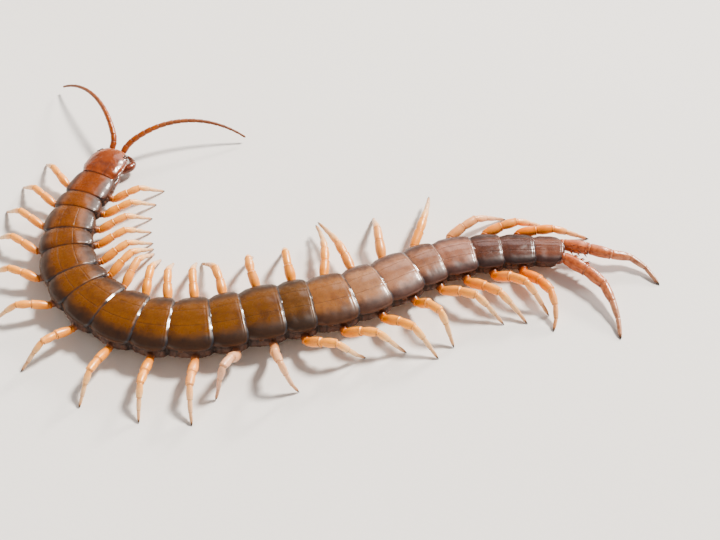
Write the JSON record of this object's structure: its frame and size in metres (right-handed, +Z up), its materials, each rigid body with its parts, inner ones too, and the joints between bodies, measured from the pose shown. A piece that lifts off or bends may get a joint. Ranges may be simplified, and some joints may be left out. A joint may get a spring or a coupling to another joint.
{
  "type": "giant centipede model",
  "caption": "Life-size still model of a giant centipede on the floor, its trunk in a long S bend, with overlapping back plates, jointed legs, feelers, poison claws and thick last legs.",
  "frame": {"origin": "centre of the model's outline seen from above, on the floor it stands on", "axes": "+X from the middle towards the tail, along the longest extent; +Y towards the side that the head is turned to; +Z up from the floor"},
  "size_m": [0.1238, 0.0832, 0.0068],
  "materials": {
    "back_plates": "waxy, glossy cuticle, amber brown that turns reddish towards the tail, with a thin dark band at each plate's rear edge",
    "legs": "satin cuticle, orange near the trunk and pale cream at the feet",
    "last_legs": "satin cuticle, brick red with paler feet",
    "head_plate": "glossy reddish brown cuticle with small black eyes",
    "antennae": "satin orange brown cuticle, downy towards the tips",
    "poison_claws": "glossy dark red cuticle with black points"
  },
  "bodies": {
    "root": {"trunk_01_02": "back_plates", "trunk_03_04": "back_plates", "trunk_05_06": "back_plates", "trunk_07_08": "back_plates", "trunk_09_10": "back_plates", "trunk_11_12": "back_plates", "trunk_13_14": "back_plates", "trunk_15_16": "back_plates", "trunk_17_18": "back_plates", "trunk_19_20": "back_plates", "trunk_21": "back_plates", "leg_left_01": "legs", "leg_right_01": "legs", "leg_left_02": "legs", "leg_right_02": "legs", "leg_left_03": "legs", "leg_right_03": "legs", "leg_left_04": "legs", "leg_right_04": "legs", "leg_left_05": "legs", "leg_right_05": "legs", "leg_left_06": "legs", "leg_right_06": "legs", "leg_left_07": "legs", "leg_right_07": "legs", "leg_left_08": "legs", "leg_right_08": "legs", "leg_left_09": "legs", "leg_right_09": "legs", "leg_left_10": "legs", "leg_right_10": "legs", "leg_left_11": "legs", "leg_right_11": "legs", "leg_left_12": "legs", "leg_right_12": "legs", "leg_left_13": "legs", "leg_right_13": "legs", "leg_left_14": "legs", "leg_right_14": "legs", "leg_left_15": "legs", "leg_right_15": "legs", "leg_left_16": "legs", "leg_right_16": "legs", "leg_left_17": "legs", "leg_right_17": "legs", "leg_left_18": "legs", "leg_right_18": "legs", "leg_left_19": "legs", "leg_right_19": "legs", "leg_left_20": "legs", "leg_right_20": "legs", "last_leg_left": "last_legs", "last_leg_right": "last_legs", "head": "head_plate", "antenna_left": "antennae", "antenna_right": "antennae", "claw_plate": "poison_claws", "poison_claw_left": "poison_claws", "poison_claw_right": "poison_claws"}
  },
  "joints": []
}
